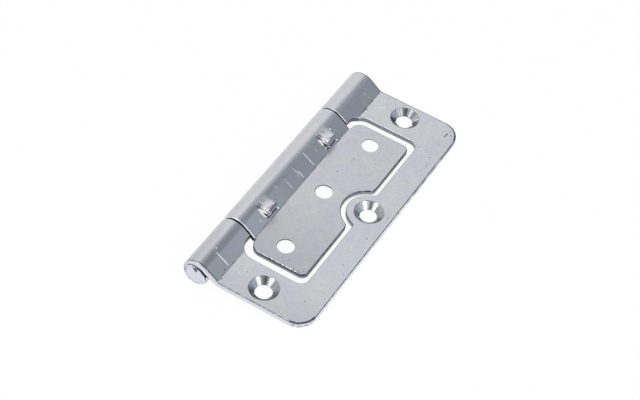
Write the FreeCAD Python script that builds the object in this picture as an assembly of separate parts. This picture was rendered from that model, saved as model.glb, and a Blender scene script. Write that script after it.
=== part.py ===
import FreeCAD, Part
import os
from math import asin, atan2, cos, hypot, pi, radians, sin, tan

# Millimetres. X runs from the pin across the leaf, Y along the pin, Z out of the leaf's face.
# The origin is midway between the outer leaf's two end screw holes, on its back face.

# The sheet and the pin
sheet = 2.0
pin_radius = 3.0
grip = 0.0
running = 0.05

# Screw holes: a cone on the head side, a short straight wall on the other
hole_radius = 2.75
rim_radius = 4.7
cone_land = 0.25

# The outer leaf: its length, its reach from the pin's axis, and the solid bands round its cut-out
leaf_length = 100.0
outer_reach = 38.3
outer_corner = 6.5
outer_band = 9.1
end_band = 14.0
end_hole_inset = 18.5
end_hole_from_end = 6.4
mid_hole_inset = 7.7
mid_hole_along = 1.0

# The cut-out that the inner leaf lies in, and the lobe that stands into it
window_corner = 3.2
pocket_inset = 1.5
pocket_corner = 5.0
lobe_margin = 2.6
lobe_near_fillet = 1.2
lobe_far_fillet = 2.6

# The inner leaf, given by its clearances from the cut-out
side_gap = 1.6
end_gap = 3.1
notch_gap = 1.6
inner_corner = 2.3
wing_gap = 0.4
wing_corner = 3.6
notch_fillet = 2.4
plain_hole_inset = 11.0
plain_hole_from_end = 6.9
plain_mid_inset = 12.9

# The knuckles
end_knuckle = 20.8
slit = 0.4
foot_gap = 2.1
foot_bend = 0.8
curl_flat_from = -95.0
curl_flat_mid = -50.0
curl_stop = 5.0
curl_thinned = 1.1
curl_tip = 1.0
curl_tip_round = 0.3
edge_round = 0.35

# The two tongues lanced out of the middle knuckle's slope, and how high their free ends stand
tongue_near_from_end = 11.575
tongue_far_from_end = 9.925
tongue_width = 5.35
tongue_low = 0.8
tongue_high = 5.0
tongue_near_gap = 0.4
tongue_far_gap = 0.35
tongue_root = 78.0
tongue_run = 1.9
tongue_root_skin = 0.5
tongue_near_out = 0.3
tongue_crown_out = 0.45
tongue_far_out = 0.2
tongue_near_deep = 2.3
tongue_crown_deep = 2.35
tongue_far_deep = 1.9
tongue_inset = 1.0
tongue_near_rise = 3.2
tongue_crown_rise = 3.9
tongue_far_rise = 2.5
tongue_round = 0.2

# The pin's ends
pin_proud = 0.1
pin_end_round = 0.5

# Worked out from the sizes above
pin_z = sheet / 2.0
cone_depth = sheet - cone_land
knuckle_radius = pin_radius + sheet
foot_reach = knuckle_radius + foot_gap
end_hole_reach = outer_reach - end_hole_inset
pin_x = -end_hole_reach
end_hole_apart = leaf_length - 2.0 * end_hole_from_end
mid_hole_reach = outer_reach - mid_hole_inset
window_reach = outer_reach - outer_band
window_length = leaf_length - 2.0 * end_band
pocket_reach = foot_reach - pocket_inset
lobe_radius = rim_radius + lobe_margin
inner_reach = window_reach - side_gap
inner_length = window_length - 2.0 * end_gap
wing_reach = foot_reach + wing_gap
plain_hole_reach = inner_reach - plain_hole_inset
plain_hole_apart = inner_length - 2.0 * plain_hole_from_end
plain_mid_reach = inner_reach - plain_mid_inset
middle_knuckle = leaf_length - 2.0 * (end_knuckle + slit)
tongue_near = -middle_knuckle / 2.0 + tongue_near_from_end
tongue_far = middle_knuckle / 2.0 - tongue_far_from_end
tongue_reach = foot_reach - tongue_inset
far_below = -4.0 * knuckle_radius
far_above = 4.0 * knuckle_radius


def vec(x, y, z):
    return FreeCAD.Vector(x, y, z)


def fillet_face(points, radii):
    """A flat face whose corners, in plan, are rounded by the radius given with each point."""
    count = len(points)
    edges = []
    starts = []
    ends = []
    for i in range(count):
        here = points[i]
        before = (points[i - 1] - here).normalize()
        after = (points[(i + 1) % count] - here).normalize()
        radius = radii[i]
        if radius <= 0.0:
            starts.append(here)
            ends.append(here)
            edges.append(None)
            continue
        angle = before.getAngle(after)
        reach = radius / tan(angle / 2.0)
        first = here + before * reach
        last = here + after * reach
        middle = (before + after).normalize()
        centre = here + middle * (radius / sin(angle / 2.0))
        crown = centre - middle * radius
        starts.append(first)
        ends.append(last)
        edges.append(Part.Arc(first, crown, last).toShape())
    outline = []
    for i in range(count):
        if edges[i] is not None:
            outline.append(edges[i])
        nxt = (i + 1) % count
        if ends[i].distanceToPoint(starts[nxt]) > 1e-6:
            outline.append(Part.LineSegment(ends[i], starts[nxt]).toShape())
    return Part.Face(Part.Wire(outline))


def slope_angle(bore):
    """How steeply the sheet rises from the foot so that it runs tangent onto the curl."""
    outer = bore + sheet
    rise = sheet - pin_z
    return asin(outer / hypot(foot_reach, rise)) - atan2(rise, foot_reach)


def around(radius, angle):
    return vec(pin_x + radius * cos(angle), 0.0, pin_z + radius * sin(angle))


def section(bore, reach):
    """The sheet seen along the pin: plate, foot bend, slope, and the curl round the pin, thinner at its end."""
    outer = bore + sheet
    tilt = slope_angle(bore)
    touch = pi / 2.0 - tilt
    foot = pin_x + foot_reach
    bend_x = foot + foot_bend * tan(tilt / 2.0)
    bend_z = sheet + foot_bend
    under = foot_bend + sheet

    def bend(radius, angle):
        return vec(bend_x - radius * sin(angle), 0.0, bend_z - radius * cos(angle))

    flat = radians(curl_flat_from)
    thin = around(bore + curl_thinned, radians(curl_flat_mid))
    stop = radians(curl_stop)
    tip = around(bore + curl_tip, stop)
    tip_nose = around(bore + curl_tip / 2.0, stop + curl_tip_round / bore)
    plate_end = pin_x + reach
    outline = [
        Part.LineSegment(vec(plate_end, 0, 0), vec(plate_end, 0, sheet)),
        Part.LineSegment(vec(plate_end, 0, sheet), bend(foot_bend, 0.0)),
        Part.Arc(bend(foot_bend, 0.0), bend(foot_bend, tilt / 2.0), bend(foot_bend, tilt)),
        Part.LineSegment(bend(foot_bend, tilt), around(outer, touch)),
        Part.Arc(around(outer, touch), around(outer, (touch + 2.0 * pi + flat) / 2.0), around(outer, flat)),
        Part.Arc(around(outer, flat), thin, tip),
        Part.Arc(tip, tip_nose, around(bore, stop)),
        Part.Arc(around(bore, stop), around(bore, (touch + 2.0 * pi + stop) / 2.0), around(bore, touch)),
        Part.LineSegment(around(bore, touch), bend(under, tilt)),
        Part.Arc(bend(under, tilt), bend(under, tilt / 2.0), bend(under, 0.0)),
        Part.LineSegment(bend(under, 0.0), vec(plate_end, 0, 0)),
    ]
    return Part.Face(Part.Wire([piece.toShape() for piece in outline]))


def bent_sheet(bore, reach, length):
    """The section drawn out along the pin, centred on the origin."""
    face = section(bore, reach)
    face.translate(vec(0, -length / 2.0, 0))
    return face.extrude(vec(0, length, 0))


def plan(x, y):
    return vec(pin_x + x, y, far_below)


def upright(face):
    return face.extrude(vec(0, 0, far_above - far_below))


def panel(x_low, x_high, y_low, y_high, low_round, high_round):
    """An upright block in plan, its corners rounded by one radius at the low x and another at the high x."""
    corners = [plan(x_low, y_low), plan(x_high, y_low), plan(x_high, y_high), plan(x_low, y_high)]
    return upright(fillet_face(corners, [low_round, high_round, high_round, low_round]))


def disc(x, y, radius):
    return Part.makeCylinder(radius, far_above - far_below, plan(x, y))


def rounded_disc(x, y, radius, edge_x, near, far):
    """A round lobe that a straight edge at edge_x runs into through a small fillet on each flank."""
    lobe = disc(x, y, radius)
    for fillet, way in ((near, -1.0), (far, 1.0)):
        flank_x = edge_x - fillet
        centre_y = y + way * ((radius + fillet) ** 2 - (x - flank_x) ** 2) ** 0.5
        share = radius / (radius + fillet)
        meet_x = x + (flank_x - x) * share
        meet_y = y + (centre_y - y) * share
        inside_x = edge_x + sheet / 4.0
        foot = [plan(inside_x, centre_y), plan(edge_x, centre_y)]
        crest = [plan(meet_x, meet_y), plan(inside_x, meet_y)]
        wedge = upright(fillet_face(foot + crest, [0, 0, 0, 0]))
        wedge = wedge.cut(disc(flank_x, centre_y, fillet))
        lobe = lobe.fuse(wedge)
    return lobe


def leaf_blank(bore, reach, length, corner):
    """The bent sheet with the two corners furthest from the pin rounded."""
    solid = bent_sheet(bore, reach, length)
    edge = length / 2.0
    return solid.common(panel(-foot_reach, reach, -edge, edge, 0, corner))


def window():
    """What is taken out of the outer leaf: the pocketed window less the lobe, and the middle knuckle's room."""
    edge = window_length / 2.0
    room = panel(pocket_reach, window_reach, -edge, edge, pocket_corner, window_corner)
    lobe_x = mid_hole_reach
    lobe = rounded_disc(lobe_x, mid_hole_along, lobe_radius, window_reach, lobe_near_fillet, lobe_far_fillet)
    knuckle = middle_knuckle / 2.0 + slit
    return room.cut(lobe).fuse(panel(-foot_reach, foot_reach, -knuckle, knuckle, 0, 0))


def screw_hole(x, y, head_up):
    """A straight hole opened by a cone on the side where the screw's head goes."""
    head = sheet if head_up else 0.0
    way = -1.0 if head_up else 1.0
    hole = disc(x, y, hole_radius)
    over = (rim_radius - hole_radius) / cone_depth
    base = vec(pin_x + x, y, head - way)
    cone = Part.makeCone(rim_radius + over, hole_radius, cone_depth + 1.0, base, vec(0, 0, way))
    return hole.fuse(cone)


def standing(face):
    """Whether a face is a cut edge of the sheet: it stands square to the leaf's plan."""
    surface = face.Surface
    if isinstance(surface, Part.Plane):
        return abs(surface.Axis.z) < 1e-6
    if isinstance(surface, Part.Cylinder):
        return abs(abs(surface.Axis.z) - 1.0) < 1e-6
    return False


def soften(solid):
    """The solid with the lines where its cut edges meet its skins rounded a little."""
    picked = []
    for edge in solid.Edges:
        faces = solid.ancestorsOfType(edge, Part.Face)
        if len(faces) == 2 and standing(faces[0]) != standing(faces[1]):
            picked.append(edge)
    return solid.makeFillet(edge_round, picked)


def outer_leaf():
    """The fixed leaf: a frame with a window, a knuckle at each end and three countersunk holes."""
    solid = leaf_blank(pin_radius + grip, outer_reach, leaf_length, outer_corner)
    solid = soften(solid.cut(window()).removeSplitter())
    for along in (-end_hole_apart / 2.0, end_hole_apart / 2.0):
        solid = solid.cut(screw_hole(end_hole_reach, along, True))
    return solid.cut(screw_hole(mid_hole_reach, mid_hole_along, True))


def inner_blank():
    """The swinging leaf's outline in plan: the middle knuckle, the wings, and the notch round the lobe."""
    edge = inner_length / 2.0
    plate = panel(wing_reach, inner_reach, -edge, edge, wing_corner, inner_corner)
    gap = lobe_radius + notch_gap
    notch = rounded_disc(mid_hole_reach, mid_hole_along, gap, inner_reach, notch_fillet, notch_fillet)
    knuckle = middle_knuckle / 2.0
    return plate.cut(notch).fuse(panel(-foot_reach, wing_reach + wing_corner, -knuckle, knuckle, 0, 0))


def on_slope(up, out, y=0.0):
    """A point given by how far it is up the slope from the foot and how far out of its face."""
    tilt = slope_angle(pin_radius + running)
    x = pin_x + foot_reach - up * cos(tilt) + out * sin(tilt)
    z = sheet + up * sin(tilt) + out * cos(tilt)
    return vec(x, y, z)


def slot(y):
    """The room that a tongue was pushed out of: closer to the tongue on its near side than on its far side."""
    low = y - tongue_width / 2.0 - tongue_near_gap
    through = sheet + 1.0
    corners = [(tongue_low, 1.0), (tongue_high, 1.0), (tongue_high, -through), (tongue_low, -through)]
    points = [on_slope(up, out, low) for up, out in corners]
    face = Part.Face(Part.makePolygon(points + points[:1]))
    return face.extrude(vec(0, tongue_near_gap + tongue_width + tongue_far_gap, 0))


def on_knuckle(angle, radius):
    """A point round the pin, by its angle from straight across and its distance from the pin's axis."""
    return vec(pin_x + radius * cos(radians(angle)), 0.0, pin_z + radius * sin(radians(angle)))


def tongue_rib(y, top, out, deep):
    """The tongue's outline at one place along the pin: it runs on from the knuckle and ends in a square-cut face."""
    bore = pin_radius + running
    root = on_knuckle(tongue_root, bore + sheet)
    turn = root + vec(sin(radians(tongue_root)), 0.0, -cos(radians(tongue_root))) * tongue_run
    root_under = on_knuckle(tongue_root, bore + tongue_root_skin)
    turn_under = on_slope(tongue_high - 1.0, -sheet)
    tip = vec(pin_x + tongue_reach, 0.0, top)
    tip_under = tip + vec(out, 0.0, -deep)
    upper = Part.BezierCurve()
    upper.setPoles([root, turn, tip])
    lower = Part.BezierCurve()
    lower.setPoles([tip_under, turn_under, root_under])
    edges = [upper.toShape(), Part.LineSegment(tip, tip_under).toShape()]
    edges += [lower.toShape(), Part.LineSegment(root_under, root).toShape()]
    rib = Part.Wire(edges)
    rib.translate(vec(0, y, 0))
    return rib


def tongue(y):
    """A tongue of the same sheet, still joined at its upper end, pushed out and crowned."""
    reach = tongue_width / 2.0
    near = tongue_rib(y - reach, sheet + tongue_near_rise, tongue_near_out, tongue_near_deep)
    crown = tongue_rib(y, sheet + tongue_crown_rise, tongue_crown_out, tongue_crown_deep)
    far = tongue_rib(y + reach, sheet + tongue_far_rise, tongue_far_out, tongue_far_deep)
    solid = Part.makeLoft([near, crown, far], True, False)
    root = on_knuckle(tongue_root, pin_radius + running + sheet).x
    free = [edge for edge in solid.Edges if edge.CenterOfMass.x > root + 0.5 and edge.Length > sheet / 2.0]
    return solid.makeFillet(tongue_round, free)


def inner_leaf():
    """The swinging leaf: the long middle knuckle, two lanced tongues and three holes, heads on the back."""
    solid = bent_sheet(pin_radius + running, inner_reach, inner_length).common(inner_blank())
    solid = soften(solid.removeSplitter())
    for along in (tongue_near, tongue_far):
        solid = solid.cut(slot(along))
        solid = solid.fuse(tongue(along))
    for along in (-plain_hole_apart / 2.0, plain_hole_apart / 2.0):
        solid = solid.cut(screw_hole(plain_hole_reach, along, False))
    return solid.cut(screw_hole(plain_mid_reach, 0.0, False))


def hinge_pin():
    """A plain rod, its rounded ends all but flush with the knuckles."""
    length = leaf_length + 2.0 * pin_proud
    rod = Part.makeCylinder(pin_radius, length, vec(pin_x, -length / 2.0, pin_z), vec(0, 1, 0))
    rims = [edge for edge in rod.Edges if len(edge.Vertexes) == 1]
    return rod.makeFillet(pin_end_round, rims)


def main():
    os.makedirs("parts", exist_ok=True)
    pieces = {"outer_leaf": outer_leaf(), "inner_leaf": inner_leaf(), "hinge_pin": hinge_pin()}
    for name, shape in pieces.items():
        solids = shape.Solids
        print(name, "solids", len(solids), "valid", shape.isValid(), "volume", round(shape.Volume, 1))
        one = solids[0] if len(solids) == 1 else shape
        one.exportStep("parts/" + name + ".step")


main()
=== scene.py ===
# %% [markdown]
# # A hurl hinge, dressed
#
# The part is a flush hinge pressed from zinc-plated sheet steel: a frame-shaped leaf, a smaller leaf
# that lies in its cut-out, and a pin. The shapes come ready made from the part's model. This lesson
# gives them their plating, the small marks that the press left on them, a table and soft light.

import math

import bpy
import numpy as np
from mathutils import Matrix, Vector


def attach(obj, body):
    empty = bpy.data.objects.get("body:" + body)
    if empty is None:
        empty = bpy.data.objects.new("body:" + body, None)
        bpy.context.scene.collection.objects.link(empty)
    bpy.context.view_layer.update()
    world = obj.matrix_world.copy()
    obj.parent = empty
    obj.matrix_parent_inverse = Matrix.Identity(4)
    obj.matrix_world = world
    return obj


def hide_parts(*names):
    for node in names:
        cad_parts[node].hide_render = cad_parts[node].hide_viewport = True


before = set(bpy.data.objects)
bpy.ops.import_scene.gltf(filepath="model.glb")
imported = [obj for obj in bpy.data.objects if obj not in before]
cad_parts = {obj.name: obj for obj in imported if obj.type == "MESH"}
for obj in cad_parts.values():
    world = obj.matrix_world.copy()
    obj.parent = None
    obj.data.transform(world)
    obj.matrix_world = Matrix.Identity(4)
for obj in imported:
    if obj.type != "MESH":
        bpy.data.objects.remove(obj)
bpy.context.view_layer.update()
outer_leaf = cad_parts["outer_leaf"]
inner_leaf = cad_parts["inner_leaf"]

# %% [markdown]
# ## The measures this lesson leans on
#
# All of them are in millimetres and belong to the real hinge. Blender works in metres, so `mm` turns
# one into the other. The pin's axis runs along Y, and both leaves are bent round it. Each knuckle runs
# down a straight slope to the leaf's flat plate, and a place on that slope is given by how far it is
# up from the foot. LOBE, END_HOLE and CORNER say where the screw holes and the rounded corners have
# their centres, and PLAY is the inner knuckle's clearance round the pin.

# %% Measures of the hinge
mm = 0.001
SHEET = 2.0
PIN_X = -19.8
PIN_Z = 1.0
KNUCKLE = 5.0
FOOT = 7.1
FOOT_X = PIN_X + FOOT
PLAY = 0.05
LEAF_REACH = 38.3
SLIT_NEAR = 28.8
SLIT_FAR = 29.2
LOBE = (10.8, 1.0)
END_HOLE = 43.6
CONE_RIM = 4.7
CORNER = (12.0, 43.5)
SLOPE = math.asin(KNUCKLE / math.hypot(FOOT, PIN_Z)) - math.atan2(PIN_Z, FOOT)
SLOPE_OUT = (math.sin(SLOPE), 0.0, math.cos(SLOPE))
print("the sheet climbs to the knuckle at", round(math.degrees(SLOPE), 1), "degrees")

# %% [markdown]
# ## The camera
#
# A product picture like this one is taken with a long lens from above one corner. The camera stands
# about half a metre away and is rolled a little, because the hinge lies tipped on its knuckles. Its
# three axes are written as rows: what is right, what is down and what is forward in the picture.

# %% Camera
camera_data = bpy.data.cameras.new("camera")
camera_data.sensor_width = 36.0
camera_data.lens = 94.81
camera_data.clip_start = 0.01
camera_data.clip_end = 10.0
camera = bpy.data.objects.new("camera", camera_data)
bpy.context.scene.collection.objects.link(camera)
right = Vector((0.85306, 0.51356, 0.09240))
down = Vector((0.43989, -0.61253, -0.65673))
forward = Vector((-0.28068, 0.60088, -0.74844))
turn = Matrix((right, -down, -forward)).transposed().to_4x4()
eye = Vector((0.144290, -0.321992, 0.398492))
camera.matrix_world = Matrix.Translation(eye) @ turn
bpy.context.scene.camera = camera
bpy.context.scene.view_settings.view_transform = "Standard"
print("camera is", round(camera.location.length * 1000), "mm from the hinge's origin")

# %% [markdown]
# ## A few short ways to wire a material
#
# Blender's materials are small networks of nodes. These helpers keep the wiring readable: each one
# adds a node, plugs in what it is given, and hands back the socket that comes out.

# %% Node helpers


def plug(tree, socket, value):
    """Puts a plain value or another node's output into a socket."""
    if isinstance(value, bpy.types.NodeSocket):
        tree.links.new(value, socket)
    else:
        socket.default_value = value


def sums(tree, what, a, b=0.0, c=0.0):
    """One arithmetic node: what is ADD, MULTIPLY, SUBTRACT, POWER and so on."""
    node = tree.nodes.new("ShaderNodeMath")
    node.operation = what
    for socket, value in zip(node.inputs, (a, b, c)):
        plug(tree, socket, value)
    return node.outputs[0]


def plus(tree, a, b):
    """a + b."""
    return sums(tree, "ADD", a, b)


def minus(tree, a, b):
    """a - b."""
    return sums(tree, "SUBTRACT", a, b)


def over(tree, a, b):
    """a / b."""
    return sums(tree, "DIVIDE", a, b)


def times_plus(tree, a, b, c):
    """a times b, plus c."""
    return sums(tree, "MULTIPLY_ADD", a, b, c)


def both(tree, *masks):
    """Where all the masks hold: their product."""
    result = masks[0]
    for mask in masks[1:]:
        result = sums(tree, "MULTIPLY", result, mask)
    return result


def either(tree, a, b):
    """Where either mask holds: the larger of the two."""
    return sums(tree, "MAXIMUM", a, b)


def size_of(tree, value):
    """A value without its sign."""
    return sums(tree, "ABSOLUTE", value)


def length(tree, a, b):
    """The long side of the right-angled triangle with sides a and b."""
    return sums(tree, "SQRT", plus(tree, both(tree, a, a), both(tree, b, b)))


def ramp(tree, value, low, high, out_low=0.0, out_high=1.0):
    """A smooth step: out_low at low, out_high at high, and an S-shaped climb between."""
    node = tree.nodes.new("ShaderNodeMapRange")
    node.interpolation_type = "SMOOTHSTEP"
    for socket, item in zip(node.inputs, (value, low, high, out_low, out_high)):
        plug(tree, socket, item)
    return node.outputs[0]


def band(tree, value, low, high, soft):
    """1 between low and high, fading to 0 over a width of soft outside them."""
    return both(tree, ramp(tree, value, low - soft, low), ramp(tree, value, high, high + soft, 1.0, 0.0))


def blend(tree, share, a, b):
    """Colour a where share is 0 and colour b where it is 1."""
    node = tree.nodes.new("ShaderNodeMix")
    node.data_type = "RGBA"
    plug(tree, node.inputs["Factor"], share)
    plug(tree, node.inputs["A"], a)
    plug(tree, node.inputs["B"], b)
    return node.outputs["Result"]


def cloud(tree, place, size, detail=2.0, stretch=(1.0, 1.0, 1.0)):
    """Soft noise whose blotches are about size millimetres across, stretched along the axes."""
    mapping = tree.nodes.new("ShaderNodeMapping")
    mapping.inputs["Scale"].default_value = [1.0 / (size * s) for s in stretch]
    plug(tree, mapping.inputs["Vector"], place)
    node = tree.nodes.new("ShaderNodeTexNoise")
    node.inputs["Detail"].default_value = detail
    plug(tree, node.inputs["Scale"], 1.0)
    tree.links.new(mapping.outputs[0], node.inputs["Vector"])
    return node.outputs["Fac"]


def split(tree, vector):
    """The three parts of a vector."""
    node = tree.nodes.new("ShaderNodeSeparateXYZ")
    tree.links.new(vector, node.inputs[0])
    return node.outputs[0], node.outputs[1], node.outputs[2]


def measured(tree):
    """Where a point of the surface is in millimetres, as a vector and in parts, and which way it faces."""
    coordinate = tree.nodes.new("ShaderNodeTexCoord")
    scale = tree.nodes.new("ShaderNodeVectorMath")
    scale.operation = "SCALE"
    tree.links.new(coordinate.outputs["Object"], scale.inputs[0])
    scale.inputs["Scale"].default_value = 1.0 / mm
    return scale.outputs[0], split(tree, scale.outputs[0]), split(tree, coordinate.outputs["Normal"])


# %% [markdown]
# ## The table
#
# The hinge doesn't lie flat. It rests on the undersides of its knuckles and on its outer edge, so in
# the hinge's own frame the table is tipped by about six degrees. The table is a plain white sheet that
# runs out of sight. What the camera sees of it directly is helped towards white with Is Camera Ray,
# and it still takes the hinge's shadow. Right under the knuckles no help is given, because hardly any
# light gets there.

# %% Table
HELP_TO_WHITE = 0.96
table_tip = math.atan2(KNUCKLE - PIN_Z, LEAF_REACH)
foot_line = Vector((PIN_X, 0.0, PIN_Z - KNUCKLE - 0.02)) * mm
bpy.ops.mesh.primitive_plane_add(size=4.0)
table = bpy.context.object
table.name = "table"
table.matrix_world = Matrix.Translation(foot_line) @ Matrix.Rotation(-table_tip, 4, "Y")

table_paint = bpy.data.materials.new("table_white")
table_paint.use_nodes = True
tree = table_paint.node_tree
tree.nodes.clear()
path = tree.nodes.new("ShaderNodeLightPath")
seen = either(tree, path.outputs["Is Camera Ray"], path.outputs["Is Glossy Ray"])
seen = either(tree, seen, path.outputs["Is Transmission Ray"])
x, y = measured(tree)[1][:2]
under = both(tree, band(tree, x, -2.2, 2.2, 3.0), band(tree, y, -17.0, 25.0, 4.0))
matt = tree.nodes.new("ShaderNodeBsdfDiffuse")
matt.inputs["Color"].default_value = (0.93, 0.93, 0.93, 1.0)
glow = tree.nodes.new("ShaderNodeEmission")
glow.inputs["Strength"].default_value = 1.0
share = tree.nodes.new("ShaderNodeMixShader")
plug(tree, share.inputs[0], both(tree, seen, times_plus(tree, under, -HELP_TO_WHITE, HELP_TO_WHITE)))
tree.links.new(matt.outputs[0], share.inputs[1])
tree.links.new(glow.outputs[0], share.inputs[2])
out = tree.nodes.new("ShaderNodeOutputMaterial")
tree.links.new(share.outputs[0], out.inputs["Surface"])
table.data.materials.append(table_paint)
print("table tipped by", round(math.degrees(table_tip), 2), "degrees")

# %% [markdown]
# ## The light
#
# Bare metal shows what is round it, so lighting it means choosing what it reflects. The plate looks
# back at a pale part of the room, the knuckle's slope looks at a duller, bluish part low on the right,
# and the screw cones look forward at two soft boxes with a gap between them where the camera stands.
# A third box stands almost overhead, where no part of the plate mirrors it, and lights the matt burrs.

# %% Light
BOX_DISTANCE = 1.1
BOX_SIZE = (0.26, 0.40)

world = bpy.data.worlds.new("room")
bpy.context.scene.world = world
world.use_nodes = True
tree = world.node_tree
tree.nodes.clear()
where = tree.nodes.new("ShaderNodeTexCoord").outputs["Generated"]


def lobe(direction, sharp):
    """How nearly the room's direction agrees with the one given: 1 there, falling off faster with sharp."""
    node = tree.nodes.new("ShaderNodeVectorMath")
    node.operation = "DOT_PRODUCT"
    tree.links.new(where, node.inputs[0])
    node.inputs[1].default_value = Vector(direction).normalized()
    return sums(tree, "POWER", either(tree, node.outputs["Value"], 0.0), sharp)


across, back, above = split(tree, where)
behind = ramp(tree, back, 0.0, 0.35)
dull = blend(tree, ramp(tree, across, 0.20, 0.62), (0.27, 0.305, 0.355, 1.0), (0.375, 0.42, 0.475, 1.0))
room = blend(tree, ramp(tree, across, -0.55, -0.90), (0.93, 0.93, 0.95, 1.0), (0.80, 0.79, 0.80, 1.0))
room = blend(tree, both(tree, ramp(tree, across, -0.30, 0.12), behind), room, dull)
room = blend(tree, both(tree, lobe((0.20, -0.65, 0.73), 24.0), 0.90), room, (0.08, 0.09, 0.12, 1.0))
front_low = both(tree, ramp(tree, back, -0.30, -0.60), ramp(tree, above, 0.66, 0.52))
room = blend(tree, both(tree, front_low, 0.9), room, (0.40, 0.41, 0.44, 1.0))
background = tree.nodes.new("ShaderNodeBackground")
tree.links.new(room, background.inputs["Color"])
background.inputs["Strength"].default_value = 1.0
out = tree.nodes.new("ShaderNodeOutputWorld")
tree.links.new(background.outputs[0], out.inputs["Surface"])


def soft_box(name, direction, power):
    """A rectangular lamp in the given direction from the hinge, facing it. All stand equally far away."""
    data = bpy.data.lights.new(name, "AREA")
    data.shape = "RECTANGLE"
    data.size, data.size_y = BOX_SIZE
    data.energy = power
    lamp = bpy.data.objects.new(name, data)
    bpy.context.scene.collection.objects.link(lamp)
    way = Vector(direction).normalized()
    lamp.location = way * BOX_DISTANCE
    lamp.rotation_euler = way.to_track_quat("Z", "Y").to_euler()


soft_box("box_left", (-0.33, -0.66, 0.68), 1.0)
soft_box("box_right", (0.70, -0.22, 0.68), 1.0)
soft_box("box_above", (-0.15, -0.25, 0.95), 1.6)

# %% [markdown]
# ## Bright zinc
#
# Zinc plating on pressed steel is a satin metal: it mirrors its surroundings softly, with a faint
# lilac cast, fine pits and a few dull patches where it was handled. Clouds of noise make the patches
# and the grain. The same mixture is used for the leaves and the pin, so it is built once here.

# %% Zinc plating
WARM = (0.762, 0.767, 0.772, 1.0)
COOL = (0.742, 0.737, 0.797, 1.0)
# dull zinc of the handled patches, also the colour of painted shade on the knuckle's shoulder
DULL_AND_SHADE = (0.30, 0.31, 0.33, 1.0)
DARK = (0.20, 0.215, 0.26, 1.0)
GREY = (0.40, 0.41, 0.45, 1.0)
# the dark of painted shade lines along rounded edges
EDGE_SHADE = (0.06, 0.065, 0.09, 1.0)
# the black of painted shade in slits, bore, slots and gaps
SHADOW_BLACK = (0.015, 0.015, 0.02, 1.0)
# the colour of painted highlights
HIGHLIGHT = (0.93, 0.94, 0.96, 1.0)
WHITE = (1.0, 1.0, 1.0, 1.0)
SLOPE_GREY = (0.30, 0.30, 0.31, 1.0)
# the dark of the plating's pits, also used for a painted shade line
PIT_AND_SHADE = (0.16, 0.17, 0.20, 1.0)
CREASE_SHADE = (0.12, 0.13, 0.16, 1.0)
# the deepest painted shade, for dark lines and corners
DEEP_SHADE = (0.09, 0.095, 0.12, 1.0)
SATIN = 0.36


def new_material(name, metal=1.0):
    """A metal material: its node tree and its shader."""
    material = bpy.data.materials.new(name)
    material.use_nodes = True
    tree = material.node_tree
    shader = tree.nodes["Principled BSDF"]
    shader.inputs["Metallic"].default_value = metal
    return material, tree, shader


def plating(tree, vector, rough):
    """Colour, roughness and grain of zinc: two tints in patches, fine grain, sparse pits, dull spots."""
    patches = cloud(tree, vector, 9.0, 2.0)
    blotch = cloud(tree, vector, 2.6, 2.0)
    grain = cloud(tree, vector, 0.55, 2.0)
    colour = blend(tree, ramp(tree, patches, 0.40, 0.60), WARM, COOL)
    shade = plus(tree, ramp(tree, grain, 0.25, 0.75, 0.0, 0.13), ramp(tree, blotch, 0.3, 0.7, 0.0, 0.07))
    colour = blend(tree, shade, colour, DULL_AND_SHADE)
    pits = tree.nodes.new("ShaderNodeTexVoronoi")
    pits.inputs["Scale"].default_value = 1.0 / 3.2
    pits.inputs["Randomness"].default_value = 1.0
    tree.links.new(vector, pits.inputs["Vector"])
    chosen = ramp(tree, split(tree, pits.outputs["Color"])[0], 0.62, 0.66)
    spot = both(tree, chosen, ramp(tree, pits.outputs["Distance"], 0.055, 0.10, 0.5, 0.0))
    colour = blend(tree, spot, colour, PIT_AND_SHADE)
    dull_spot = ramp(tree, blotch, 0.66, 0.74, 0.0, 0.12)
    roughness = plus(tree, ramp(tree, grain, 0.3, 0.7, rough - 0.04, rough + 0.05), dull_spot)
    return colour, roughness, grain


def finish_metal(tree, shader, colour, roughness, grain):
    """Plugs the colour and roughness into the shader and lets the grain ruffle the surface a little."""
    bump = tree.nodes.new("ShaderNodeBump")
    bump.inputs["Strength"].default_value = 0.3
    bump.inputs["Distance"].default_value = 0.015 * mm
    tree.links.new(grain, bump.inputs["Height"])
    tree.links.new(bump.outputs[0], shader.inputs["Normal"])
    plug(tree, shader.inputs["Base Color"], colour)
    plug(tree, shader.inputs["Roughness"], roughness)


def dress(node, material):
    """Gives a node of the part a material in place of the plain one it came with."""
    for slot in node.material_slots:
        slot.material = material
    print(node.name, "is dressed in", material.name)


# %% [markdown]
# ## Cut edges, cones and the slits between the knuckles
#
# A press cuts the sheet with a shear: the cut faces come out rougher and greyer than the rolled skin.
# Cut walls that face each other across a gap are painted darker still with shade, and a dark thread of
# painted shade, broken here and there, runs along the rounded line where wall and skin meet. The screw
# cones are turned, so they are smoother, with faint lines running down them. Inside the narrow slits
# between the knuckles painted shade makes it all but black, with a thin painted highlight on one edge.
# Each of these is a mask made from where a point is and which way it faces.

# %% Paint shared by both leaves


def cut_edges(tree, colour, roughness, vector, place, facing, wall_colour, wall_share, edge_shade_share):
    """Tints the plate's cut faces, sheared grey with painted shade, and paints a dark thread of shade on
    their top edge.
    """
    x, z = place[0], place[2]
    plate = ramp(tree, x, FOOT_X, FOOT_X + 0.04)
    wall = both(tree, ramp(tree, size_of(tree, facing[2]), 0.25, 0.45, 1.0, 0.0), wall_share)
    colour = blend(tree, wall, colour, wall_colour)
    roughness = times_plus(tree, wall, 0.10, roughness)
    shade_breaks = ramp(tree, cloud(tree, vector, 0.9, 3.0), 0.32, 0.62)
    # painted shade: a dark thread along the rounded top edge of the cut faces, broken here and there
    edge_shade = both(tree, plate, band(tree, facing[2], 0.35, 0.90, 0.06), ramp(tree, z, 1.45, 1.60))
    edge_shade = both(tree, edge_shade, times_plus(tree, shade_breaks, 0.65, 0.30), edge_shade_share)
    return blend(tree, edge_shade, colour, EDGE_SHADE), roughness


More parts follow.
